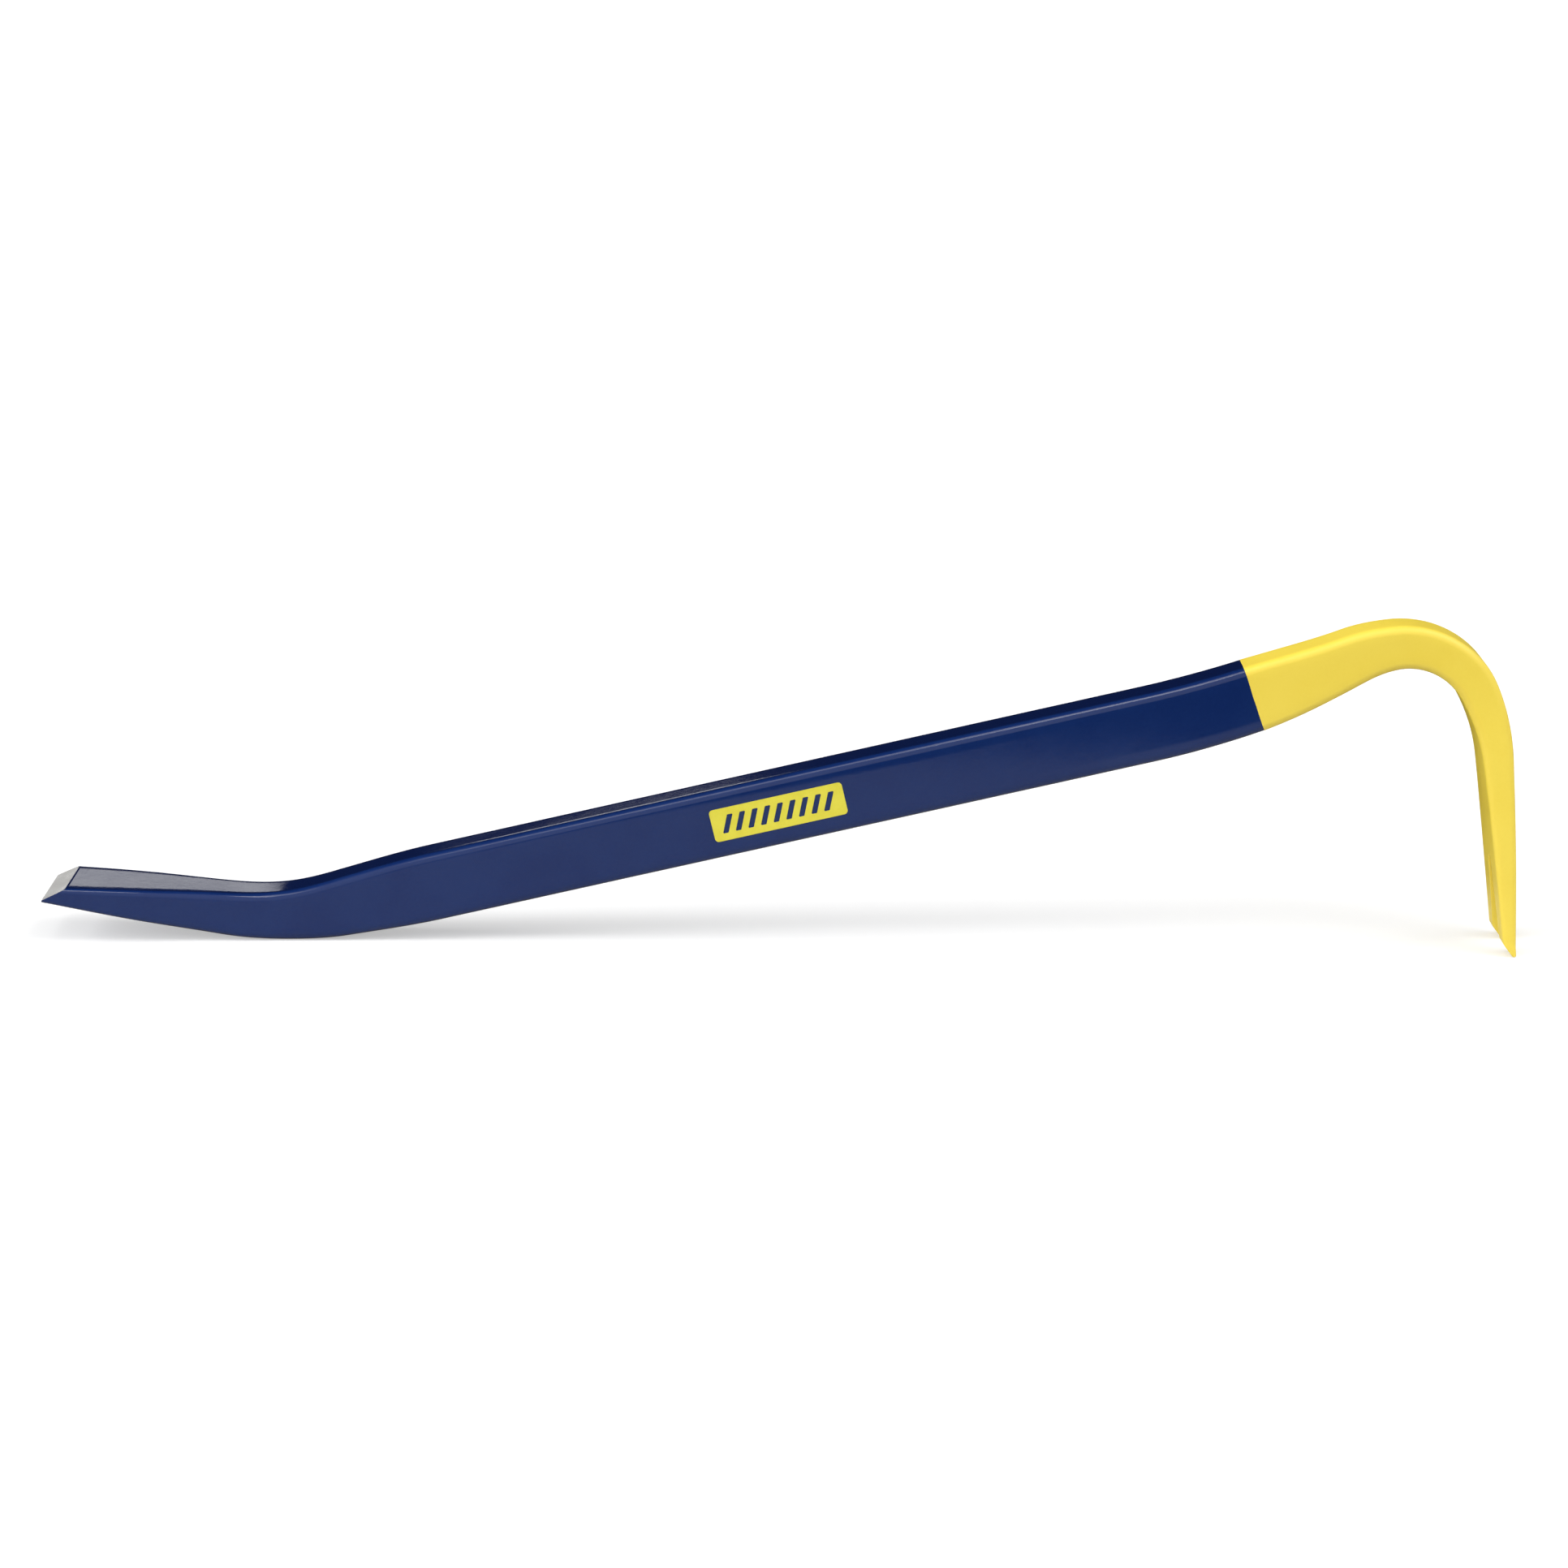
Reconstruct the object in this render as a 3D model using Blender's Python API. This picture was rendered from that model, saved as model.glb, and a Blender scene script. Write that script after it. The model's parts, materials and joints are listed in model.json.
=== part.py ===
"""Gooseneck wrecking bar: one steel forging, two enamel coats and a hatched side label.

Metres, +Z up. The bar runs along X with its chisel at -X and its hook at +X, and stands on its heel
and its claw tip. The origin is on that surface, under the middle of the bar's box. The pieces are
modelled in the bar's own frame, whose +X follows the blade from the middle of its cutting edge, and
hang on an empty that sets the bar down.
"""
from math import atan2, cos, hypot, radians, sin, tan

import bmesh
import bpy
from mathutils import Vector

# The centreline, from the chisel's edge to the claw's edge: each stretch's length and turn.
BLADE_LENGTH = 0.0555
HEEL_LENGTH = 0.0370
HEEL_TURN = radians(21.0)
ROOT_LENGTH = 0.0300
SHANK_LENGTH = 0.2255
NECK_LENGTH = 0.0665
NECK_TURN = radians(12.0)
SHOULDER_LENGTH = 0.0130
SHOULDER_TURN = radians(-16.0)
CROWN_LENGTH = 0.0320
CROWN_TURN = radians(-72.5)
THROAT_LENGTH = 0.0230
THROAT_TURN = radians(-20.0)
LEG_LENGTH = 0.0615
LEG_TURN = radians(-2.0)

# Heights of the section, across the bar in the plane of its bends.
CHISEL_EDGE_HEIGHT = 0.0049
BLADE_MIDDLE_HEIGHT = 0.0097
BLADE_END_HEIGHT = 0.0137
HEEL_MIDDLE_HEIGHT = 0.0157
HEEL_END_HEIGHT = 0.0189
SHANK_HEIGHT = 0.0218
NECK_MIDDLE_HEIGHT = 0.0212
NECK_END_HEIGHT = 0.0161
SHOULDER_END_HEIGHT = 0.0140
CROWN_END_HEIGHT = 0.0119
THROAT_END_HEIGHT = 0.0094
LEG_MIDDLE_HEIGHT = 0.0067
CLAW_EDGE_HEIGHT = 0.0038

# Widths of the section, along Y.
CHISEL_WIDTH = 0.0270
BLADE_MIDDLE_WIDTH = 0.0236
BLADE_END_WIDTH = 0.0174
SHANK_WIDTH = 0.0145
CROWN_END_WIDTH = 0.0165
THROAT_END_WIDTH = 0.0200
LEG_MIDDLE_WIDTH = 0.0240
CLAW_WIDTH = 0.0260

# Radii of the section's four edges.
CHISEL_EDGE_RADIUS = 0.0015
SHANK_EDGE_RADIUS = 0.0026
CLAW_EDGE_RADIUS = 0.0015

# Ground bevels: how far each runs back from its edge, and the flat land left at the edge.
CHISEL_BEVEL_LENGTH = 0.0070
CHISEL_LAND = 0.0010
CLAW_BEVEL_LENGTH = 0.0045
CLAW_LAND = 0.0012

# The nail slot in the claw: tangents to a round root that open towards the edge.
SLOT_LENGTH = 0.0300
SLOT_ROOT_RADIUS = 0.0016
SLOT_HALF_ANGLE = radians(9.0)

# The enamel, and the gap that every pair of touching pieces keeps.
COAT_THICKNESS = 0.0003
CLEARANCE = 0.0003
PAINT_LINE_FROM_SHANK_END = 0.0340

# The label on the near side of the shank, with a row of slanted windows.
LABEL_LENGTH = 0.0420
LABEL_HEIGHT = 0.0104
LABEL_THICKNESS = 0.0003
LABEL_CORNER_RADIUS = 0.0012
LABEL_FROM_SHANK_START = 0.1095
WINDOW_COUNT = 9
WINDOW_WIDTH = 0.0018
WINDOW_HEIGHT = 0.0058
WINDOW_PITCH = 0.0040
WINDOW_SLANT = radians(24.0)

# How finely the shapes are faceted.
EDGE_STEPS = 4
ROOT_STEPS = 10
CORNER_STEPS = 4
SHADE_ANGLE = radians(28.0)

# How far a cutter runs past the metal that it cuts.
OVERRUN = 0.0020
CUTTER_REACH = 0.0300

# Each stretch: its length, its turn and the number of steps that it is lofted in.
STRETCHES = [
    (BLADE_LENGTH, 0.0, 6),
    (HEEL_LENGTH, HEEL_TURN, 8),
    (ROOT_LENGTH, 0.0, 3),
    (SHANK_LENGTH, 0.0, 1),
    (NECK_LENGTH, NECK_TURN, 8),
    (SHOULDER_LENGTH, SHOULDER_TURN, 4),
    (CROWN_LENGTH, CROWN_TURN, 14),
    (THROAT_LENGTH, THROAT_TURN, 5),
    (LEG_LENGTH, LEG_TURN, 8),
]

# Distances along the centreline at which the stretches end.
BLADE_END = BLADE_LENGTH
HEEL_END = BLADE_END + HEEL_LENGTH
SHANK_START = HEEL_END + ROOT_LENGTH
SHANK_END = SHANK_START + SHANK_LENGTH
NECK_END = SHANK_END + NECK_LENGTH
SHOULDER_END = NECK_END + SHOULDER_LENGTH
CROWN_END = SHOULDER_END + CROWN_LENGTH
THROAT_END = CROWN_END + THROAT_LENGTH
BAR_END = THROAT_END + LEG_LENGTH
PAINT_LINE = SHANK_END + PAINT_LINE_FROM_SHANK_END

HEIGHTS = [
    (0.0, CHISEL_EDGE_HEIGHT),
    (0.5 * BLADE_END, BLADE_MIDDLE_HEIGHT),
    (BLADE_END, BLADE_END_HEIGHT),
    (0.5 * (BLADE_END + HEEL_END), HEEL_MIDDLE_HEIGHT),
    (HEEL_END, HEEL_END_HEIGHT),
    (SHANK_START, SHANK_HEIGHT),
    (SHANK_END, SHANK_HEIGHT),
    (0.5 * (SHANK_END + NECK_END), NECK_MIDDLE_HEIGHT),
    (NECK_END, NECK_END_HEIGHT),
    (SHOULDER_END, SHOULDER_END_HEIGHT),
    (CROWN_END, CROWN_END_HEIGHT),
    (THROAT_END, THROAT_END_HEIGHT),
    (0.5 * (THROAT_END + BAR_END), LEG_MIDDLE_HEIGHT),
    (BAR_END, CLAW_EDGE_HEIGHT),
]
WIDTHS = [
    (0.0, CHISEL_WIDTH),
    (0.5 * BLADE_END, BLADE_MIDDLE_WIDTH),
    (BLADE_END, BLADE_END_WIDTH),
    (HEEL_END, SHANK_WIDTH),
    (SHOULDER_END, SHANK_WIDTH),
    (CROWN_END, CROWN_END_WIDTH),
    (THROAT_END, THROAT_END_WIDTH),
    (0.5 * (THROAT_END + BAR_END), LEG_MIDDLE_WIDTH),
    (BAR_END, CLAW_WIDTH),
]
RADII = [
    (0.0, CHISEL_EDGE_RADIUS),
    (HEEL_END, SHANK_EDGE_RADIUS),
    (SHOULDER_END, SHANK_EDGE_RADIUS),
    (BAR_END, CLAW_EDGE_RADIUS),
]


def centreline(distance):
    """Point and heading of the centreline, which runs on straight past both ends of the bar."""
    x, z, heading = 0.0, 0.0, 0.0
    left = distance
    for length, turn, _ in STRETCHES:
        if left <= 0.0:
            break
        part = min(left, length)
        bend = turn * part / length
        chord = part if bend == 0.0 else part * sin(bend / 2) / (bend / 2)
        x += chord * cos(heading + bend / 2)
        z += chord * sin(heading + bend / 2)
        heading += bend
        left -= part
    return x + left * cos(heading), z + left * sin(heading), heading


def place(distance, across, y=0.0):
    """The bar-frame point this far along the centreline, across it (up is positive) and along Y."""
    x, z, heading = centreline(distance)
    return Vector((x - across * sin(heading), y, z + across * cos(heading)))


def slope_at(table, index):
    """Slope of the curve through a table at one of its rows: level wherever the values turn."""
    last = len(table) - 1
    before = None if index == 0 else rise(table[index - 1], table[index])
    after = None if index == last else rise(table[index], table[index + 1])
    if before is None or after is None:
        return after if before is None else before
    return 0.0 if before * after <= 0.0 else 2 * before * after / (before + after)


def rise(first, second):
    return (second[1] - first[1]) / (second[0] - first[0])


def read(table, distance):
    """Value of a table at a distance, on a smooth curve that never leaves its rows' range."""
    distance = min(max(distance, table[0][0]), table[-1][0])
    index = max(i for i, row in enumerate(table[:-1]) if row[0] <= distance)
    (start, low), (end, high) = table[index], table[index + 1]
    span = end - start
    t = (distance - start) / span
    into = slope_at(table, index) * span
    out = slope_at(table, index + 1) * span
    return (
        low * (1 + 2 * t) * (1 - t) ** 2
        + high * t * t * (3 - 2 * t)
        + into * t * (1 - t) ** 2
        - out * t * t * (1 - t)
    )


def step_distances(start, end):
    """Where the loft between two distances has its sections."""
    marks, here = [], 0.0
    for length, _, steps in STRETCHES:
        marks += [here + length * i / steps for i in range(steps)]
        here += length
    closest = 0.25 * min(row[0] for row in STRETCHES) / max(row[2] for row in STRETCHES)
    inner = [mark for mark in marks if start + closest < mark < end - closest]
    return [start] + inner + [end]


def section(distance, inset):
    """The bar's section at a distance, drawn in from its surface: a rectangle with round edges."""
    half_height = read(HEIGHTS, distance) / 2 - inset
    half_width = read(WIDTHS, distance) / 2 - inset
    radius = min(read(RADII, distance) - inset, 0.9 * half_height, 0.9 * half_width)
    ring = []
    for corner in range(4):
        side = 1 if corner in (0, 3) else -1
        top = 1 if corner in (0, 1) else -1
        for step in range(EDGE_STEPS + 1):
            angle = radians(90 * corner + 90 * step / EDGE_STEPS)
            y = side * (half_width - radius) + radius * cos(angle)
            across = top * (half_height - radius) + radius * sin(angle)
            ring.append(place(distance, across, y))
    return ring


def finish_mesh(bm, name, collection, frame):
    """Turns a bmesh into an object that hangs on the bar's frame."""
    bmesh.ops.recalc_face_normals(bm, faces=bm.faces)
    mesh = bpy.data.meshes.new(name)
    bm.to_mesh(mesh)
    bm.free()
    mesh.shade_smooth()
    mesh.set_sharp_from_angle(angle=SHADE_ANGLE)
    obj = bpy.data.objects.new(name, mesh)
    collection.objects.link(obj)
    obj.parent = frame
    return obj


def loft(name, start, end, inset, collection, frame):
    """Solid bar between two distances, drawn in from the finished surface by the inset."""
    bm = bmesh.new()
    rings = [[bm.verts.new(point) for point in section(d, inset)] for d in step_distances(start, end)]
    for ring, following in zip(rings, rings[1:]):
        for i in range(len(ring)):
            j = (i + 1) % len(ring)
            bm.faces.new((ring[i], ring[j], following[j], following[i]))
    bm.faces.new(rings[0])
    bm.faces.new(rings[-1])
    return finish_mesh(bm, name, collection, frame)


def prism(name, outline, depth, collection, frame):
    """Solid between an outline and its copy moved by the depth vector."""
    bm = bmesh.new()
    face = bm.faces.new([bm.verts.new(point) for point in outline])
    pushed = bmesh.ops.extrude_face_region(bm, geom=[face])
    moved = [item for item in pushed["geom"] if isinstance(item, bmesh.types.BMVert)]
    bmesh.ops.translate(bm, verts=moved, vec=depth)
    return finish_mesh(bm, name, collection, frame)


def hide_cutter(obj):
    obj.hide_render = True
    obj.display_type = "WIRE"
    return obj


def cut(obj, *cutters):
    """Takes the cutters' shapes away from an object."""
    for cutter in cutters:
        modifier = obj.modifiers.new("cut_" + cutter.name, "BOOLEAN")
        modifier.operation = "DIFFERENCE"
        modifier.solver = "EXACT"
        modifier.object = cutter


def grinding_block(name, edge, shoulder, away, inset, collection, frame):
    """Block whose face lies through an edge point and a shoulder point, and takes what is beyond it."""
    along = (shoulder - edge).normalized()
    normal = along.cross(Vector((0, 1, 0)))
    normal *= 1 if normal.dot(away) > 0 else -1
    low = edge - along * CUTTER_REACH - normal * inset
    high = shoulder + along * CUTTER_REACH - normal * inset
    side = Vector((0, CUTTER_REACH, 0))
    outline = [low - side, high - side, high + side, low + side]
    return hide_cutter(prism(name, outline, normal * CUTTER_REACH, collection, frame))


def chisel_block(name, collection, frame):
    """Grinds the bare bevel on top of the chisel, through the enamel and the steel alike."""
    edge = place(0.0, CHISEL_LAND - CHISEL_EDGE_HEIGHT / 2)
    shoulder = place(CHISEL_BEVEL_LENGTH, read(HEIGHTS, CHISEL_BEVEL_LENGTH) / 2)
    return grinding_block(name, edge, shoulder, Vector((0, 0, 1)), 0.0, collection, frame)


def claw_block(name, inset, collection, frame):
    """Grinds the bevel inside the claw, which the enamel covers."""
    start = BAR_END - CLAW_BEVEL_LENGTH
    edge = place(BAR_END, CLAW_EDGE_HEIGHT / 2 - CLAW_LAND)
    shoulder = place(start, -read(HEIGHTS, start) / 2)
    away = place(start, -1.0) - place(start, 0.0)
    return grinding_block(name, edge, shoulder, away, inset, collection, frame)


def slot_cutter(name, grow, collection, frame):
    """The nail slot, grown all round: the same tangents drawn to a larger root."""
    x, z, heading = centreline(BAR_END)
    back = Vector((-cos(heading), 0, -sin(heading)))
    out = Vector((-sin(heading), 0, cos(heading)))
    radius = SLOT_ROOT_RADIUS + grow
    centre = SLOT_LENGTH - SLOT_ROOT_RADIUS
    mouth = radius / cos(SLOT_HALF_ANGLE) + (centre + OVERRUN) * tan(SLOT_HALF_ANGLE)
    sweep = radians(90) - SLOT_HALF_ANGLE
    flat = [(-OVERRUN, mouth)]
    for step in range(ROOT_STEPS + 1):
        angle = sweep - 2 * sweep * step / ROOT_STEPS
        flat.append((centre + radius * cos(angle), radius * sin(angle)))
    flat.append((-OVERRUN, -mouth))
    base = Vector((x, 0, z)) - out * CUTTER_REACH / 2
    outline = [base + back * along + Vector((0, y, 0)) for along, y in flat]
    return hide_cutter(prism(name, outline, out * CUTTER_REACH, collection, frame))


def label_outline(centre, along, up):
    """The label's rectangle with round corners."""
    points = []
    for corner in range(4):
        side = 1 if corner in (0, 3) else -1
        top = 1 if corner in (0, 1) else -1
        for step in range(CORNER_STEPS + 1):
            angle = radians(90 * corner + 90 * step / CORNER_STEPS)
            a = side * (LABEL_LENGTH / 2 - LABEL_CORNER_RADIUS) + LABEL_CORNER_RADIUS * cos(angle)
            b = top * (LABEL_HEIGHT / 2 - LABEL_CORNER_RADIUS) + LABEL_CORNER_RADIUS * sin(angle)
            points.append(centre + along * a + up * b)
    return points


def window_outline(centre, along, up):
    """One slanted window of the label."""
    lean = WINDOW_HEIGHT / 2 * tan(WINDOW_SLANT)
    corners = [(1, 1), (-1, 1), (-1, -1), (1, -1)]
    return [centre + along * (a * WINDOW_WIDTH / 2 + b * lean) + up * b * WINDOW_HEIGHT / 2 for a, b in corners]


def lower_outline():
    """Points of the side view that may touch the surface, with the share of the bar's metal at each."""
    points, metal = [], []
    steps = step_distances(0.0, BAR_END)
    for d in steps:
        half = read(HEIGHTS, d) / 2
        points += [place(d, half), place(d, -half)]
    points.append(place(BAR_END, CLAW_EDGE_HEIGHT / 2 - CLAW_LAND))
    points.remove(place(BAR_END, -CLAW_EDGE_HEIGHT / 2))
    for first, second in zip(steps, steps[1:]):
        middle = (first + second) / 2
        metal.append((place(middle, 0.0), (second - first) * read(HEIGHTS, middle) * read(WIDTHS, middle)))
    return points, metal


def tilt_and_shift():
    """How far the bar turns about Y, and where it then moves, to stand on its heel and its claw."""
    points, metal = lower_outline()
    centre_x = sum(p.x * share for p, share in metal) / sum(share for _, share in metal)
    hull = []
    for point in sorted(points, key=lambda p: (p.x, p.z)):
        while len(hull) > 1:
            a, b = hull[-2], hull[-1]
            if (b.x - a.x) * (point.z - a.z) - (b.z - a.z) * (point.x - a.x) > 0:
                break
            hull.pop()
        hull.append(point)
    heel, claw = next((a, b) for a, b in zip(hull, hull[1:]) if a.x <= centre_x <= b.x)
    turn = atan2(claw.z - heel.z, claw.x - heel.x)
    turned_x = [p.x * cos(turn) + p.z * sin(turn) for p in points]
    floor = heel.z * cos(turn) - heel.x * sin(turn)
    return turn, Vector((-(min(turned_x) + max(turned_x)) / 2, 0, -floor))


def enamel(name, colour, roughness, metallic):
    material = bpy.data.materials.new(name)
    material.use_nodes = True
    shader = material.node_tree.nodes["Principled BSDF"]
    shader.inputs["Base Color"].default_value = (*colour, 1.0)
    shader.inputs["Roughness"].default_value = roughness
    shader.inputs["Metallic"].default_value = metallic
    return material


def new_collection(name):
    collection = bpy.data.collections.new(name)
    bpy.context.scene.collection.children.link(collection)
    return collection


for old in list(bpy.data.objects):
    bpy.data.objects.remove(old, do_unlink=True)

bar = new_collection("wrecking_bar")
cutters = new_collection("cutters")
turn, shift = tilt_and_shift()
frame = bpy.data.objects.new("bar_frame", None)
bar.objects.link(frame)
frame.rotation_euler = (0.0, turn, 0.0)
frame.location = shift

# The forging: one bar of steel under the enamel, bare only where the chisel's bevel is ground.
core_inset = COAT_THICKNESS + CLEARANCE
chisel_bevel = chisel_block("chisel_bevel", cutters, frame)
steel_bar = loft("steel_bar", 0.0, BAR_END - core_inset, core_inset, bar, frame)
cut(
    steel_bar,
    chisel_bevel,
    claw_block("steel_claw_bevel", core_inset, cutters, frame),
    slot_cutter("steel_nail_slot", core_inset, cutters, frame),
)
steel_bar.data.materials.append(enamel("bare_steel", (0.55, 0.55, 0.53), 0.35, 1.0))

# The dark coat: a tube over the chisel, the heel and the shank, open at the bevel and at the paint line.
blue_hollow = hide_cutter(loft("blue_hollow", -OVERRUN, PAINT_LINE + OVERRUN, COAT_THICKNESS, cutters, frame))
blue_enamel = loft("blue_enamel", 0.0, PAINT_LINE, 0.0, bar, frame)
cut(blue_enamel, blue_hollow, chisel_bevel)
blue_enamel.data.materials.append(enamel("blue_enamel", (0.020, 0.036, 0.130), 0.25, 0.0))

# The bright coat: a sleeve over the hook, closed round the claw's edge and down the walls of the slot.
yellow_start = PAINT_LINE + CLEARANCE
yellow_hollow = loft(
    "yellow_hollow", yellow_start - OVERRUN, BAR_END - COAT_THICKNESS, COAT_THICKNESS, cutters, frame
)
cut(
    hide_cutter(yellow_hollow),
    claw_block("hollow_claw_bevel", COAT_THICKNESS, cutters, frame),
    slot_cutter("hollow_nail_slot", COAT_THICKNESS, cutters, frame),
)
yellow_enamel = loft("yellow_enamel", yellow_start, BAR_END, 0.0, bar, frame)
cut(
    yellow_enamel,
    claw_block("claw_bevel", 0.0, cutters, frame),
    slot_cutter("nail_slot", 0.0, cutters, frame),
    yellow_hollow,
)
yellow_enamel.data.materials.append(enamel("yellow_enamel", (0.86, 0.66, 0.07), 0.30, 0.0))

# The label: a thin film on the near side of the shank, in line with it.
label_distance = SHANK_START + LABEL_FROM_SHANK_START
label_y = -SHANK_WIDTH / 2 - CLEARANCE
label_along = Vector((cos(HEEL_TURN), 0, sin(HEEL_TURN)))
label_up = Vector((-sin(HEEL_TURN), 0, cos(HEEL_TURN)))
label_centre = place(label_distance, 0.0, label_y)
label_depth = Vector((0, -LABEL_THICKNESS, 0))
label_panel = prism("label_panel", label_outline(label_centre, label_along, label_up), label_depth, bar, frame)
for number in range(WINDOW_COUNT):
    offset = (number - (WINDOW_COUNT - 1) / 2) * WINDOW_PITCH
    start = label_centre + label_along * offset + Vector((0, OVERRUN / 2, 0))
    window = prism(
        f"window_{number + 1}",
        window_outline(start, label_along, label_up),
        label_depth - Vector((0, OVERRUN, 0)),
        cutters,
        frame,
    )
    cut(label_panel, hide_cutter(window))
label_panel.data.materials.append(enamel("label_film", (0.78, 0.70, 0.06), 0.35, 0.0))
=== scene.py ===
import json
from math import atan2, cos, pi, radians, sin, tan

import bmesh
import bpy
from mathutils import Matrix, Vector, noise


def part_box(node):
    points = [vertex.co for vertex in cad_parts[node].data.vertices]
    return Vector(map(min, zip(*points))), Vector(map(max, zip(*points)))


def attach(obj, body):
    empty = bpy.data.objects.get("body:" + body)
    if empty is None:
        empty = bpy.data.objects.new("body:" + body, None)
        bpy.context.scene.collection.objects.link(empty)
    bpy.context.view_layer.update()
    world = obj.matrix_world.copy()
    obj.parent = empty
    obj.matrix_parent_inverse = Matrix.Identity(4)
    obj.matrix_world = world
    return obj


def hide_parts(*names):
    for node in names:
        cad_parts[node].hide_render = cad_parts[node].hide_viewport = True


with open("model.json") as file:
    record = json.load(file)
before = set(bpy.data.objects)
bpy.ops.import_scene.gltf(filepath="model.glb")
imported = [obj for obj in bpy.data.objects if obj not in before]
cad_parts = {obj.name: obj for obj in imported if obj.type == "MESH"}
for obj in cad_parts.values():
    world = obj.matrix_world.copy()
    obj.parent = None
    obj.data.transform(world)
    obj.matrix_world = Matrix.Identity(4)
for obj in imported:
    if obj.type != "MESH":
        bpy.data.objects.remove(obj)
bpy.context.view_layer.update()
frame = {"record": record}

# ---------------------------------------------------------------------------------------------
# The forging. One bar of medium-carbon steel, drawn out to a chisel at one end and bent to a hook
# with a split claw at the other. It is black forge scale under the enamel, and bare only where the
# top of the chisel is ground to its edge.

# Stretches of the centreline, chisel to claw: length in metres and turn in degrees.
STRETCHES = {
    "blade": (0.0555, 0.0),
    "heel": (0.0370, 21.0),
    "root": (0.0300, 0.0),
    "shank": (0.2255, 0.0),
    "neck": (0.0665, 12.0),
    "shoulder": (0.0130, -16.0),
    "crown": (0.0320, -72.5),
    "throat": (0.0230, -20.0),
    "leg": (0.0615, -2.0),
}
END_OF = {}
bar_length = 0.0
for stretch, (length, _) in STRETCHES.items():
    bar_length += length
    END_OF[stretch] = bar_length
BAR_END = bar_length


def halfway(stretch):
    """The distance to the middle of a stretch."""
    return END_OF[stretch] - STRETCHES[stretch][0] / 2


# Sizes of the section along the bar: (distance from the chisel's edge, size).
CHISEL_HEIGHT = 0.0049
CLAW_HEIGHT = 0.0038
HEIGHTS = [
    (0.0, CHISEL_HEIGHT),
    (halfway("blade"), 0.0097),
    (END_OF["blade"], 0.0137),
    (halfway("heel"), 0.0157),
    (END_OF["heel"], 0.0189),
    (END_OF["root"], 0.0218),
    (END_OF["shank"], 0.0218),
    (halfway("neck"), 0.0212),
    (END_OF["neck"], 0.0161),
    (END_OF["shoulder"], 0.0140),
    (END_OF["crown"], 0.0119),
    (END_OF["throat"], 0.0094),
    (halfway("leg"), 0.0067),
    (BAR_END, CLAW_HEIGHT),
]
WIDTHS = [
    (0.0, 0.0270),
    (halfway("blade"), 0.0236),
    (END_OF["blade"], 0.0174),
    (END_OF["heel"], 0.0145),
    (END_OF["shoulder"], 0.0145),
    (END_OF["crown"], 0.0165),
    (END_OF["throat"], 0.0200),
    (halfway("leg"), 0.0240),
    (BAR_END, 0.0260),
]
EDGE_RADII = [
    (0.0, 0.0015),
    (END_OF["heel"], 0.0026),
    (END_OF["shoulder"], 0.0026),
    (BAR_END, 0.0015),
]
CHISEL_BEVEL_LENGTH = 0.0070
CHISEL_LAND = 0.0010
CLAW_BEVEL_LENGTH = 0.0045
CLAW_LAND = 0.0012
SLOT_LENGTH = 0.0300
SLOT_ROOT_RADIUS = 0.0016
SLOT_HALF_ANGLE = radians(9.0)
SLOT_CENTRE = SLOT_LENGTH - SLOT_ROOT_RADIUS

# How far the enamel's skin lies inside the frame's faceted surface, so that its curves stay in its box,
# how thick the enamel is, and how much of a gap the steel keeps under it.
SKIN = 0.00005
FILM = 0.00012
STEEL_GAP = 0.00002
STEEL_INSET = SKIN + FILM + STEEL_GAP
# The claw's steel is a little smaller, as its edges are sharp and the enamel over them is round.
CLAW_INSET = STEEL_INSET + 0.00015


def slope(table, index):
    """Slope of the curve through a table at one row: level wherever the sizes turn."""
    rises = [(b[1] - a[1]) / (b[0] - a[0]) for a, b in zip(table, table[1:])]
    if index in (0, len(rises)):
        return rises[min(index, len(rises) - 1)]
    before, after = rises[index - 1], rises[index]
    return 0.0 if before * after <= 0.0 else 2 * before * after / (before + after)


def size_at(table, distance):
    """A size of the section at a distance, on a smooth curve through the table."""
    distance = min(max(distance, table[0][0]), table[-1][0])
    index = max(i for i, row in enumerate(table[:-1]) if row[0] <= distance)
    (start, low), (end, high) = table[index], table[index + 1]
    span = end - start
    t = (distance - start) / span
    into, out = slope(table, index) * span, slope(table, index + 1) * span
    ends = low * (1 + 2 * t) * (1 - t) ** 2 + high * t * t * (3 - 2 * t)
    return ends + into * t * (1 - t) ** 2 - out * t * t * (1 - t)


def follow(distance, heading):
    """Where the centreline gets to from the origin at a heading. Past its end it runs on straight."""
    x, z, left = 0.0, 0.0, distance
    for length, turn in STRETCHES.values():
        if left <= 0.0:
            break
        part = min(left, length)
        bend = radians(turn) * part / length
        chord = part * (sin(bend / 2) / (bend / 2) if bend else 1.0)
        x += chord * cos(heading + bend / 2)
        z += chord * sin(heading + bend / 2)
        heading += bend
        left -= part
    return x + left * cos(heading), z + left * sin(heading), heading


# The frame says how the bar lies: the way its shank points, the line of its top face, and its tip.
shank_face = next(m for m in frame["record"]["mounts"] if m["name"] == "shank_top_face")
shank_heading = atan2(-shank_face["axis"][0], shank_face["axis"][2])
bends_before_shank = sum(STRETCHES[name][1] for name in ("blade", "heel", "root"))
START_HEADING = shank_heading - radians(bends_before_shank)
start_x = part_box("blue_enamel")[0].x - CHISEL_HEIGHT / 2 * sin(START_HEADING)
root_x, root_z, _ = follow(END_OF["root"], START_HEADING)
face_x = start_x + root_x - size_at(HEIGHTS, END_OF["root"]) / 2 * sin(shank_heading)
face_z = shank_face["pos_m"][2] + (face_x - shank_face["pos_m"][0]) * tan(shank_heading)
start_z = face_z - root_z - size_at(HEIGHTS, END_OF["root"]) / 2 * cos(shank_heading)


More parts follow.
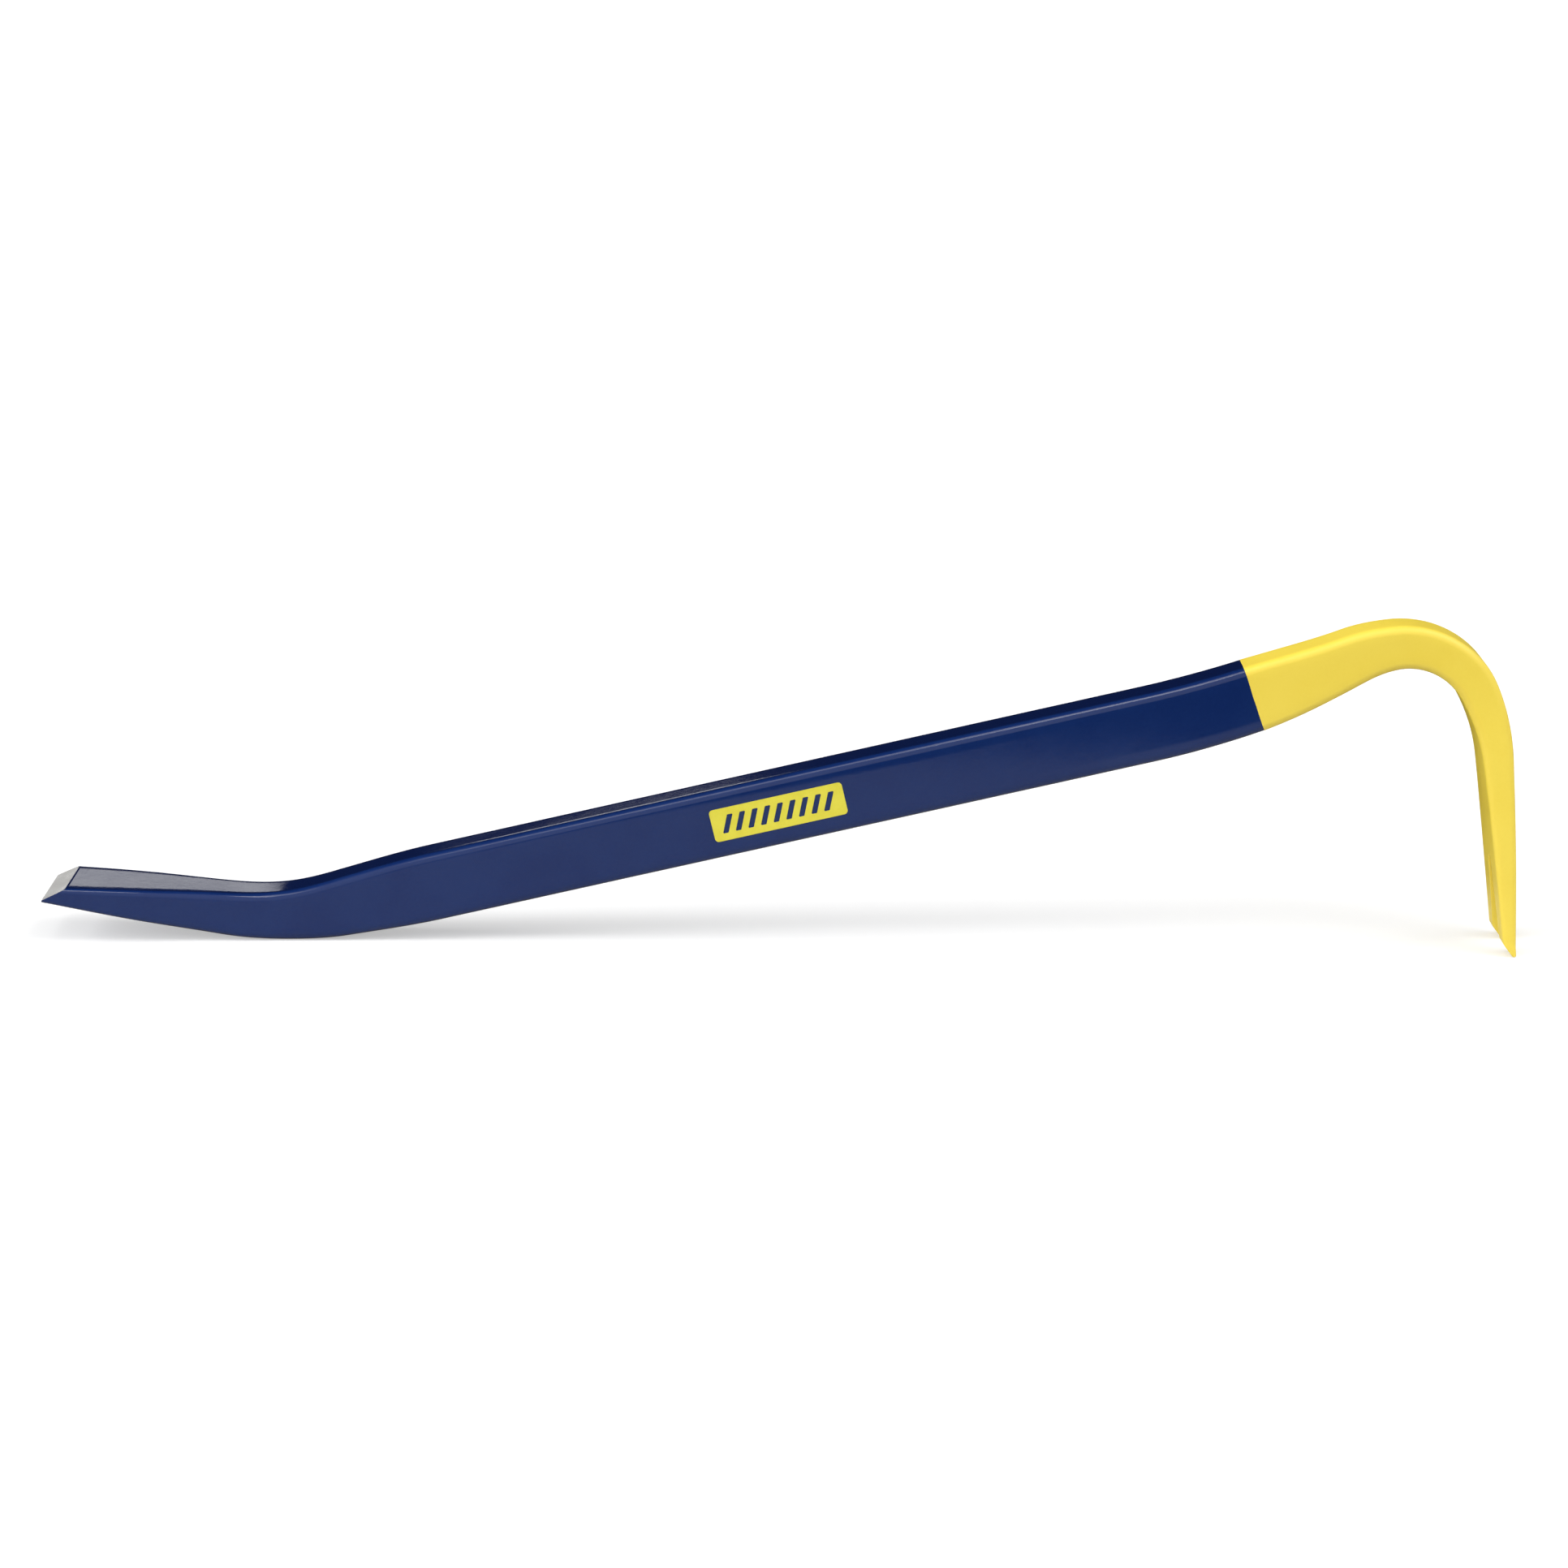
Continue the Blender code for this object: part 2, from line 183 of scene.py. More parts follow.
def bar_point(distance, across=0.0, y=0.0):
    """A point this far along the bar, across it (up is positive) and along Y."""
    x, z, heading = follow(distance, START_HEADING)
    return Vector((start_x + x - across * sin(heading), y, start_z + z + across * cos(heading)))


def put(tree, kind, feeds=None, **settings):
    """Adds a node with its settings, and feeds its inputs from sockets or plain values."""
    node = tree.nodes.new(kind)
    for name, value in settings.items():
        setattr(node, name, value)
    for name, value in (feeds or {}).items():
        if isinstance(value, bpy.types.NodeSocket):
            tree.links.new(value, node.inputs[name])
        else:
            node.inputs[name].default_value = value
    return node


def calc(tree, operation, *terms):
    """One arithmetic step on sockets or numbers."""
    return put(tree, "ShaderNodeMath", dict(enumerate(terms)), operation=operation).outputs[0]


def new_tree(name, kind, takes, gives):
    """An empty node tree with named inputs and outputs, and its two ends."""
    tree = bpy.data.node_groups.new(name, kind)
    for label, (socket_type, default) in takes.items():
        socket = tree.interface.new_socket(label, in_out="INPUT", socket_type=socket_type)
        if default is not None:
            socket.default_value = default
    for label, socket_type in gives.items():
        tree.interface.new_socket(label, in_out="OUTPUT", socket_type=socket_type)
    return tree, tree.nodes.new("NodeGroupInput").outputs, tree.nodes.new("NodeGroupOutput").inputs


def named(tree, label):
    """A number that the mesh carries at each point."""
    node = put(tree, "GeometryNodeInputNamedAttribute", {"Name": label}, data_type="FLOAT")
    return node.outputs["Attribute"]


def section_sweep_tree():
    """Sweeps a rectangle with round edges along a spine whose points carry the section's sizes."""
    tree, given, result = new_tree(
        "section_sweep",
        "GeometryNodeTree",
        {
            "Spine": ("NodeSocketGeometry", None),
            "Edge Steps": ("NodeSocketInt", 6),
            "Face Steps": ("NodeSocketInt", 6),
            "Closed Ends": ("NodeSocketBool", False),
            "Material": ("NodeSocketMaterial", None),
        },
        {"Bar": "NodeSocketGeometry"},
    )
    quarter = calc(tree, "ADD", given["Edge Steps"], given["Face Steps"])
    around = calc(tree, "MULTIPLY", quarter, 4)
    circle = put(tree, "GeometryNodeCurvePrimitiveCircle", {"Resolution": around})
    ring = put(
        tree,
        "GeometryNodeStoreNamedAttribute",
        {
            "Geometry": circle.outputs["Curve"],
            "Name": "ring",
            "Value": put(tree, "GeometryNodeInputIndex").outputs[0],
        },
        data_type="FLOAT",
    )
    spine = put(tree, "GeometryNodeMeshToCurve", {"Mesh": given["Spine"]})
    kept = put(
        tree,
        "GeometryNodeStoreNamedAttribute",
        {
            "Geometry": spine.outputs["Curve"],
            "Name": "middle",
            "Value": put(tree, "GeometryNodeInputPosition").outputs[0],
        },
        data_type="FLOAT_VECTOR",
    )
    tube = put(
        tree,
        "GeometryNodeCurveToMesh",
        {"Curve": kept.outputs[0], "Profile Curve": ring.outputs[0], "Fill Caps": given["Closed Ends"]},
    )
    # Each ring point is a corner's centre plus a way round that corner; along a face the centre slides.
    index = named(tree, "ring")
    just_past = calc(tree, "ADD", index, 0.001)
    corner = calc(tree, "FLOOR", calc(tree, "DIVIDE", just_past, quarter))
    step = calc(tree, "SUBTRACT", index, calc(tree, "MULTIPLY", corner, quarter))
    arc = calc(tree, "DIVIDE", calc(tree, "MINIMUM", step, given["Edge Steps"]), given["Edge Steps"])
    along = calc(tree, "MAXIMUM", calc(tree, "SUBTRACT", step, given["Edge Steps"]), 0.0)
    slide = calc(tree, "DIVIDE", along, given["Face Steps"])
    way = calc(tree, "MULTIPLY", calc(tree, "ADD", corner, arc), pi / 2)
    diagonal = calc(tree, "MULTIPLY", calc(tree, "ADD", corner, 0.5), pi / 2)
    following = calc(tree, "ADD", diagonal, pi / 2)
    offsets = []
    for operation, half in (("COSINE", named(tree, "half_width")), ("SINE", named(tree, "half_height"))):
        near = calc(tree, operation, diagonal)
        gap = calc(tree, "SUBTRACT", calc(tree, operation, following), near)
        sign = calc(tree, "MULTIPLY", calc(tree, "MULTIPLY_ADD", gap, slide, near), 2**0.5)
        reach = calc(tree, "SUBTRACT", half, named(tree, "edge_radius"))
        round_part = calc(tree, "MULTIPLY", calc(tree, operation, way), named(tree, "edge_radius"))
        offsets.append(calc(tree, "MULTIPLY_ADD", sign, reach, round_part))
    y, across = offsets
    heading = named(tree, "heading")
    back = calc(tree, "MULTIPLY", calc(tree, "MULTIPLY", calc(tree, "SINE", heading), across), -1.0)
    up = calc(tree, "MULTIPLY", calc(tree, "COSINE", heading), across)
    offset = put(tree, "ShaderNodeCombineXYZ", {"X": back, "Y": y, "Z": up})
    middle = put(tree, "GeometryNodeInputNamedAttribute", {"Name": "middle"}, data_type="FLOAT_VECTOR")
    spot = put(
        tree,
        "ShaderNodeVectorMath",
        {0: middle.outputs["Attribute"], 1: offset.outputs[0]},
        operation="ADD",
    )
    placed = put(
        tree,
        "GeometryNodeSetPosition",
        {"Geometry": tube.outputs["Mesh"], "Position": spot.outputs[0]},
    )
    real = put(tree, "GeometryNodeRealizeInstances", {"Geometry": placed.outputs[0]})
    finish = put(
        tree,
        "GeometryNodeSetMaterial",
        {"Geometry": real.outputs[0], "Material": given["Material"]},
    )
    tree.links.new(finish.outputs[0], result["Bar"])
    return tree


SECTION_SWEEP = section_sweep_tree()


MOST_ROUND = 0.9


def spine_mesh(name, stations, closed):
    """A line of points at stations, each a distance and an inset, that carries the section's sizes."""
    count = len(stations)
    mesh = bpy.data.meshes.new(name)
    lines = [(i, (i + 1) % count) for i in range(count if closed else count - 1)]
    mesh.from_pydata([bar_point(distance) for distance, _ in stations], lines, [])
    sizes = {"half_height": [], "half_width": [], "edge_radius": [], "heading": []}
    for distance, inset in stations:
        half_height = size_at(HEIGHTS, distance) / 2 - inset
        half_width = size_at(WIDTHS, distance) / 2 - inset
        sizes["half_height"].append(half_height)
        sizes["half_width"].append(half_width)
        edge_radius = min(size_at(EDGE_RADII, distance) - inset, MOST_ROUND * half_height)
        sizes["edge_radius"].append(edge_radius)
        sizes["heading"].append(follow(distance, START_HEADING)[2])
    for label, values in sizes.items():
        mesh.attributes.new(label, "FLOAT", "POINT").data.foreach_set("value", values)
    return mesh


def new_object(name, data):
    """An object with this mesh, light or camera, placed in the scene."""
    obj = bpy.data.objects.new(name, data)
    bpy.context.scene.collection.objects.link(obj)
    return obj


def settle(obj):
    """Makes an object's modifiers part of its mesh."""
    graph = bpy.context.evaluated_depsgraph_get()
    made = bpy.data.meshes.new_from_object(obj.evaluated_get(graph), depsgraph=graph)
    obj.modifiers.clear()
    before = obj.data
    obj.data = made
    bpy.data.meshes.remove(before)
    if made.materials and made.materials[0] is None:
        made.materials.pop(index=0)
    made.name = obj.name


def grow(obj, tree, settings):
    """Puts an object's mesh through a geometry tree, with these values at the tree's inputs."""
    modifier = obj.modifiers.new(tree.name, "NODES")
    modifier.node_group = tree
    for item in tree.interface.items_tree:
        if item.in_out == "INPUT" and item.name in settings:
            modifier[item.identifier] = settings[item.name]
    settle(obj)


def marks(start, end, step):
    """Evenly spaced distances from start to end, about a step apart."""
    count = max(1, round(abs(end - start) / step))
    return [start + (end - start) * i / count for i in range(count + 1)]


def facing(start, end):
    """A plane through two points and along Y, as a point and a normal that leans up or back."""
    way = (end - start).normalized()
    return start, Vector((-way.z, 0.0, way.x))


GRIND_REACH = 0.030


def grind(mesh, point, normal, material_index=0):
    """Takes away what is near a point and beyond a plane through it, and closes the cut flat."""
    bm = bmesh.new()
    bm.from_mesh(mesh)
    faces = [face for face in bm.faces if all((v.co - point).length < GRIND_REACH for v in face.verts)]
    near = dict.fromkeys(item for face in faces for item in (*face.verts, *face.edges))
    whole = [*faces, *near]
    cut = bmesh.ops.bisect_plane(bm, geom=whole, plane_co=point, plane_no=normal, clear_outer=True)
    rim = [item for item in cut["geom_cut"] if isinstance(item, bmesh.types.BMEdge)]
    for face in bmesh.ops.contextual_create(bm, geom=rim)["faces"]:
        face.material_index = material_index
    bmesh.ops.recalc_face_normals(bm, faces=bm.faces)
    bm.to_mesh(mesh)
    bm.free()


def slot_wall(run, widening):
    """A point of the slot's wall, at a run from the middle of its root, as a distance back from the
    claw's edge and a Y. The wall of a wider slot lies further out."""
    sweep = pi / 2 - SLOT_HALF_ANGLE
    arc = SLOT_ROOT_RADIUS * sweep
    if run <= arc:
        turn = run / SLOT_ROOT_RADIUS
        reach = SLOT_ROOT_RADIUS + widening
        return SLOT_CENTRE + reach * cos(turn), reach * sin(turn)
    settled = min((run - arc) / (2 * arc), 1.0)
    aside = cos(SLOT_HALF_ANGLE) * (1 - settled) + settled / cos(SLOT_HALF_ANGLE)
    behind = sin(SLOT_HALF_ANGLE) * (1 - settled)
    back = SLOT_CENTRE + SLOT_ROOT_RADIUS * cos(sweep) - (run - arc) * cos(SLOT_HALF_ANGLE)
    y = SLOT_ROOT_RADIUS * sin(sweep) + (run - arc) * sin(SLOT_HALF_ANGLE)
    return back + widening * behind, y + widening * aside


SLOT_ARC = SLOT_ROOT_RADIUS * (pi / 2 - SLOT_HALF_ANGLE)
SLOT_RUN = SLOT_ARC + (SLOT_CENTRE + SLOT_ROOT_RADIUS * sin(SLOT_HALF_ANGLE)) / cos(SLOT_HALF_ANGLE)


def slot_prism(widening, depth, overrun, step):
    """A block of the slot's outline, for cutting the steel."""
    side = [slot_wall(run, widening) for run in marks(0.0, SLOT_RUN + overrun, step)]
    outline = side[::-1] + [(back, -y) for back, y in side[1:]]
    bm = bmesh.new()
    face = bm.faces.new([bm.verts.new(bar_point(BAR_END - back, -depth / 2, y)) for back, y in outline])
    pushed = bmesh.ops.extrude_face_region(bm, geom=[face])
    moved = [item for item in pushed["geom"] if isinstance(item, bmesh.types.BMVert)]
    bmesh.ops.translate(bm, verts=moved, vec=bar_point(BAR_END, depth) - bar_point(BAR_END))
    bmesh.ops.recalc_face_normals(bm, faces=bm.faces)
    mesh = bpy.data.meshes.new("slot_prism")
    bm.to_mesh(mesh)
    bm.free()
    return new_object("slot_prism", mesh)


def mottle_group():
    """Slow, cloudy variation in tone, with a finer grain on it: about 0 to 1."""
    tree, given, result = new_tree(
        "mottle",
        "ShaderNodeTree",
        {
            "Vector": ("NodeSocketVector", None),
            "Cloud Size": ("NodeSocketFloat", 0.02),
            "Grain Size": ("NodeSocketFloat", 0.001),
            "Grain Share": ("NodeSocketFloat", 0.3),
        },
        {"Value": "NodeSocketFloat"},
    )
    layers = []
    for size, detail in ((given["Cloud Size"], 3.0), (given["Grain Size"], 2.0)):
        scale = calc(tree, "DIVIDE", 1.0, size)
        feeds = {"Vector": given["Vector"], "Scale": scale, "Detail": detail}
        layers.append(put(tree, "ShaderNodeTexNoise", feeds).outputs[0])
    share = given["Grain Share"]
    clouds = calc(tree, "MULTIPLY", layers[0], calc(tree, "SUBTRACT", 1.0, share))
    both = calc(tree, "MULTIPLY_ADD", layers[1], share, clouds)
    spread = put(
        tree,
        "ShaderNodeMapRange",
        {"Value": both, "From Min": 0.3, "From Max": 0.7},
        interpolation_type="SMOOTHSTEP",
    )
    tree.links.new(spread.outputs[0], result["Value"])
    return tree


MOTTLE = mottle_group()


def new_material(name):
    """A material with one Principled shader: its tree, the shader and the object's own coordinates."""
    material = bpy.data.materials.new(name)
    material.use_nodes = True
    tree = material.node_tree
    coordinates = put(tree, "ShaderNodeTexCoord").outputs["Object"]
    return material, tree, tree.nodes["Principled BSDF"], coordinates


def group(tree, inner, feeds):
    """A shared effect, placed in a material with its own values."""
    return put(tree, "ShaderNodeGroup", feeds, node_tree=inner).outputs[0]


def between(tree, share, first, second):
    """A colour between two, by a share that changes over the surface."""
    feeds = {0: share, 6: (*first, 1.0), 7: (*second, 1.0)}
    return put(tree, "ShaderNodeMix", feeds, data_type="RGBA").outputs[2]


def ranged(tree, value, low, high):
    """A 0 to 1 value spread from low to high."""
    return calc(tree, "MULTIPLY_ADD", value, high - low, low)


def ground_steel():
    """Bright steel with fine scratches across the bevel, left by the grinding wheel."""
    material, tree, shader, coordinates = new_material("ground_steel")
    scratch_map = put(tree, "ShaderNodeMapping", {"Vector": coordinates, "Scale": (1.0, 0.03, 1.0)})
    feeds = {"Vector": scratch_map.outputs[0], "Scale": 9000.0, "Detail": 2.0}
    scratches = put(tree, "ShaderNodeTexNoise", feeds).outputs[0]
    clouds = group(tree, MOTTLE, {"Vector": coordinates, "Cloud Size": 0.006})
    colour = between(tree, scratches, (0.62, 0.61, 0.59), (0.80, 0.79, 0.76))
    tree.links.new(colour, shader.inputs["Base Color"])
    tree.links.new(ranged(tree, clouds, 0.24, 0.34), shader.inputs["Roughness"])
    bump = put(tree, "ShaderNodeBump", {"Height": scratches, "Strength": 0.5, "Distance": 0.00001})
    tree.links.new(bump.outputs[0], shader.inputs["Normal"])
    shader.inputs["Metallic"].default_value = 1.0
    return material


def forge_scale():
    """Blue-black oxide with a pitted skin, which the enamel hides."""
    material, tree, shader, coordinates = new_material("forge_scale")
    pits = group(tree, MOTTLE, {"Vector": coordinates, "Cloud Size": 0.004})
    colour = between(tree, pits, (0.030, 0.031, 0.036), (0.085, 0.084, 0.088))
    tree.links.new(colour, shader.inputs["Base Color"])
    tree.links.new(ranged(tree, pits, 0.55, 0.8), shader.inputs["Roughness"])
    bump = put(tree, "ShaderNodeBump", {"Height": pits, "Strength": 0.4, "Distance": 0.00004})
    tree.links.new(bump.outputs[0], shader.inputs["Normal"])
    shader.inputs["Metallic"].default_value = 0.6
    return material


chisel_plane = facing(
    bar_point(0.0, CHISEL_LAND - CHISEL_HEIGHT / 2),
    bar_point(CHISEL_BEVEL_LENGTH, size_at(HEIGHTS, CHISEL_BEVEL_LENGTH) / 2),
)
claw_shoulder = BAR_END - CLAW_BEVEL_LENGTH
claw_edge = bar_point(BAR_END, CLAW_HEIGHT / 2 - CLAW_LAND)
claw_plane = facing(claw_edge, bar_point(claw_shoulder, -size_at(HEIGHTS, claw_shoulder) / 2))

STRAIGHT_STEP = 0.004
BENT_STEP = 0.002
steel_marks = marks(0.0, END_OF["shank"], STRAIGHT_STEP)
steel_marks += marks(END_OF["shank"], BAR_END - CLAW_INSET, BENT_STEP)[1:]
steel_spine = spine_mesh("steel_spine", [(mark, STEEL_INSET) for mark in steel_marks], closed=False)
forging = new_object("forged_steel", steel_spine)
grow(
    forging,
    SECTION_SWEEP,
    {"Edge Steps": 4, "Face Steps": 4, "Closed Ends": True, "Material": forge_scale()},
)
slot_cutter = slot_prism(CLAW_INSET, depth=0.03, overrun=0.003, step=0.0004)
boolean = forging.modifiers.new("slot", "BOOLEAN")
boolean.object = slot_cutter
settle(forging)
bpy.data.objects.remove(slot_cutter)
forging.data.materials.append(ground_steel())
grind(forging.data, claw_plane[0] - claw_plane[1] * CLAW_INSET, claw_plane[1])
BARE = 1
grind(forging.data, *chisel_plane, material_index=BARE)
for polygon in forging.data.polygons:
    at_tip = polygon.center.x < start_x + STEEL_INSET
    if at_tip and abs(polygon.normal.x) > 0.9:
        polygon.material_index = BARE
forging.data.shade_smooth()
forging.data.set_sharp_from_angle(angle=radians(20))
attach(forging, "root")
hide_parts("steel_bar")

# ---------------------------------------------------------------------------------------------
# The dark coat. Gloss navy enamel, dipped and baked over the chisel, the heel and the shank. It is
# a thin skin with a faint orange peel, ground away at the chisel's bevel, and its other end runs
# under the yellow.

PAINT_LINE = END_OF["shank"] + 0.0340
LAP = 0.0015
# The enamel is drawn in by up to this much, in hollows of about this size.
SWELL_DEPTH = 0.00004
SWELL_SIZE = 0.014


def swell_tree():
    """Draws a surface in by a little here and there, as a forging's hammered faces are never flat."""
    tree, given, result = new_tree(
        "forged_swell",
        "GeometryNodeTree",
        {
            "Coat": ("NodeSocketGeometry", None),
            "Depth": ("NodeSocketFloat", SWELL_DEPTH),
            "Size": ("NodeSocketFloat", SWELL_SIZE),
            "Seed": ("NodeSocketFloat", 0.0),
            "Material": ("NodeSocketMaterial", None),
        },
        {"Coat": "NodeSocketGeometry"},
    )
    scale = calc(tree, "DIVIDE", 1.0, given["Size"])
    feeds = {"Scale": scale, "Detail": 1.0, "W": given["Seed"]}
    waves = put(tree, "ShaderNodeTexNoise", feeds, noise_dimensions="4D").outputs[0]
    depth = calc(tree, "MULTIPLY", calc(tree, "MULTIPLY", waves, given["Depth"]), -1.0)
    normal = put(tree, "GeometryNodeInputNormal").outputs[0]
    pull = put(tree, "ShaderNodeVectorMath", {0: normal, "Scale": depth}, operation="SCALE")
    moved = put(tree, "GeometryNodeSetPosition", {"Geometry": given["Coat"], "Offset": pull.outputs[0]})
    real = put(tree, "GeometryNodeRealizeInstances", {"Geometry": moved.outputs[0]})
    finish = put(
        tree,
        "GeometryNodeSetMaterial",
        {"Geometry": real.outputs[0], "Material": given["Material"]},
    )
    tree.links.new(finish.outputs[0], result["Coat"])
    return tree


FORGED_SWELL = swell_tree()


def enamel(name, full, thin, roughness, peel_size, peel_strength):
    """Gloss enamel: cloudy in tone, thinner in the grain's hollows, with an orange-peel surface."""
    material, tree, shader, coordinates = new_material(name)
    tone = group(tree, MOTTLE, {"Vector": coordinates, "Cloud Size": 0.018, "Grain Size": 0.0009})
    tree.links.new(between(tree, tone, full, thin), shader.inputs["Base Color"])
    tree.links.new(ranged(tree, tone, *roughness), shader.inputs["Roughness"])
    peel = group(
        tree,
        MOTTLE,
        {"Vector": coordinates, "Cloud Size": peel_size, "Grain Size": peel_size / 4, "Grain Share": 0.25},
    )
    bump = put(tree, "ShaderNodeBump", {"Height": peel, "Strength": peel_strength, "Distance": 0.00003})
    tree.links.new(bump.outputs[0], shader.inputs["Normal"])
    return material


def paint_edge_on_shade(material, shade_colour, share):
    """Paints shade into an enamel: turns it towards a dark colour where the camera sees it edge-on, so that
    its upper faces come out dark.
    """
    tree = material.node_tree
    base = tree.nodes["Principled BSDF"].inputs["Base Color"]
    # Painted shade: the more edge-on the surface is to the camera, the more the base colour turns dark.
    edge_on = put(tree, "ShaderNodeLayerWeight", {"Blend": 0.5}).outputs["Facing"]
    depth = put(
        tree,
        "ShaderNodeMapRange",
        {"Value": edge_on, "From Min": 0.25, "From Max": 0.75, "To Min": 0.0, "To Max": share},
        interpolation_type="SMOOTHSTEP",
    ).outputs[0]
    edge_on_shade = put(tree, "ShaderNodeMix", {0: depth, 7: (*shade_colour, 1.0)}, data_type="RGBA")
    tree.links.new(base.links[0].from_socket, edge_on_shade.inputs[6])
    tree.links.new(edge_on_shade.outputs[2], base)


navy = enamel(
    "navy_enamel",
    full=(0.0045, 0.0180, 0.096),
    thin=(0.0062, 0.0225, 0.108),
    roughness=(0.07, 0.11),
    peel_size=0.0024,
    peel_strength=0.2,
)
navy.node_tree.nodes["Principled BSDF"].inputs["IOR"].default_value = 1.40
# Painted shade: the navy turns nearly black where it is seen edge-on, as its top faces are from the camera.
paint_edge_on_shade(navy, (0.0005, 0.0030, 0.030), 0.7)

NAVY_STEP = 0.0015
NAVY_INNER_STEP = 0.0045
blue_end = PAINT_LINE + LAP
outer = [(mark, SKIN) for mark in marks(0.0, blue_end, NAVY_STEP)]
inner = [(mark, SKIN + FILM) for mark in marks(blue_end, 0.0, NAVY_INNER_STEP)]
blue_coat = new_object("navy_coat", spine_mesh("navy_spine", outer + inner, closed=True))
grow(
    blue_coat,
    SECTION_SWEEP,
    {"Edge Steps": 7, "Face Steps": 7, "Closed Ends": False, "Material": navy},
)
grind(blue_coat.data, *chisel_plane)
grow(blue_coat, FORGED_SWELL, {"Depth": SWELL_DEPTH, "Size": SWELL_SIZE, "Material": navy})
blue_coat.data.shade_smooth()
blue_coat.data.set_sharp_from_angle(angle=radians(35))
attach(blue_coat, "root")
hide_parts("blue_enamel")

# ---------------------------------------------------------------------------------------------
# The bright coat. Gloss yellow enamel over the neck, the hook and the claw, which was dipped after the
# navy. Its edge laps the navy in a slightly wavy line with a fat lip, and it runs round the claw's
# edge and down the walls of the nail slot.

# The lip: how far it stands out, how wide its crest is, where it fades out, and its foot's gap.
PAINT_LIP = 0.00006
LIP_WIDTH = 0.0016
LIP_FADE = 0.0040
LIP_FOOT = 0.000004
# The wander of the paint line: how far it goes, how fast, from which seed, and how far back it is felt.
LINE_WAVE = 0.00035
WAVES_PER_METRE = 150
WAVE_SEED = 3.7
WAVE_REACH = 0.006
# The radii of the coat over the slot's edges and the claw's end, the least that an edge may have, and
# the largest share of the section's height.
SLOT_EASE = 0.0003
EDGE_EASE = 0.00045
LEAST_EDGE = 0.00003
MOST_EDGE = 0.45
# How many points a row has on each part of the section, and how many rows go round the slot's root
# and over the claw's end.
FACE_POINTS = 9
EDGE_POINTS = 7
SIDE_POINTS = 5
WALL_POINTS = 5
ROOT_ROWS = 9
END_ROWS = 4
# How far apart the other rows are, and how far they stop before the slot and past the paint line.
BEND_STEP = 0.0008
STEP = 0.0015
INNER_STEP = 0.0030
SLOT_APPROACH = 0.0009
INNER_SLOT_APPROACH = 0.0012
INNER_LINE_APPROACH = 0.0022


def mixed(low, high, share):
    """A value part of the way from one to another."""
    return low + (high - low) * share


def arc_marks(count):
    """Evenly spaced angles of a quarter turn."""
    return [pi / 2 * i / count for i in range(count + 1)]


def faces_at(distance, inset):
    """The heights of the section's upper and lower face; the claw's bevel raises the lower one."""
    half = size_at(HEIGHTS, distance) / 2
    low = -half
    if distance > claw_shoulder:
        share = (distance - claw_shoulder) / CLAW_BEVEL_LENGTH
        low = mixed(-size_at(HEIGHTS, claw_shoulder) / 2, CLAW_HEIGHT / 2 - CLAW_LAND, share)
    return half - inset, low + inset


def wavy(distance, across, y):
    """Moves a point near the paint line along the bar, so that the line wanders."""
    fade = max(0.0, 1 - (distance - PAINT_LINE) / WAVE_REACH)
    drift = noise.noise(Vector((y * WAVES_PER_METRE, across * WAVES_PER_METRE, WAVE_SEED)))
    return bar_point(distance + LINE_WAVE * drift * fade, across, y)


def half_row(distance, inset, run=None, slot_inset=None):
    """One row of the coat on the +Y half, from the middle of the upper face round to that of the lower.

    With a run along the slot's wall, the row starts and ends at the wall, and a second list closes it.
    """
    top, low = faces_at(distance, inset)
    half_width = size_at(WIDTHS, distance) / 2 - inset
    edge = min(size_at(EDGE_RADII, distance) - inset, MOST_EDGE * (top - low))
    ease = max(SLOT_EASE + SKIN - inset, LEAST_EDGE)
    # Where the bevel is ground into the lower edge, that edge gets sharper.
    ground_away = low - inset + size_at(HEIGHTS, distance) / 2
    low_edge = edge if ground_away < 1e-6 else min(edge, max(ease, edge - 2 * ground_away))
    start = (distance, 0.0)
    if run is not None:
        back, start_y = slot_wall(run, slot_inset + ease)
        start = (BAR_END - back, start_y)

    def face_point(share, upper):
        at = mixed(start[0], distance, share)
        height = faces_at(at, inset)[0 if upper else 1]
        return at, height, mixed(start[1], half_width - (edge if upper else low_edge), share)

    points = [face_point(i / FACE_POINTS, True) for i in range(FACE_POINTS)]
    for turn in arc_marks(EDGE_POINTS):
        points.append((distance, top - edge + edge * cos(turn), half_width - edge + edge * sin(turn)))
    for i in range(1, SIDE_POINTS):
        points.append((distance, mixed(top - edge, low + low_edge, i / SIDE_POINTS), half_width))
    for turn in arc_marks(EDGE_POINTS):
        across = low + low_edge * (1 - sin(turn))
        points.append((distance, across, half_width - low_edge * (1 - cos(turn))))
    points += [face_point(1 - i / FACE_POINTS, False) for i in range(1, FACE_POINTS + 1)]
    row = [wavy(*point) for point in points]
    if run is None:
        return row, []
    wall = []
    top, low = faces_at(start[0], inset)
    for turn in arc_marks(EDGE_POINTS)[1:]:
        back, y = slot_wall(run, slot_inset + ease * (1 - sin(turn)))
        wall.append((BAR_END - back, low + ease * (1 - cos(turn)), y))
    for i in range(1, WALL_POINTS):
        back, y = slot_wall(run, slot_inset)
        wall.append((BAR_END - back, mixed(low + ease, top - ease, i / WALL_POINTS), y))
    for turn in arc_marks(EDGE_POINTS)[:0:-1]:
        back, y = slot_wall(run, slot_inset + ease * (1 - sin(turn)))
        wall.append((BAR_END - back, top - ease * (1 - cos(turn)), y))
    return row, [bar_point(*point) for point in wall]


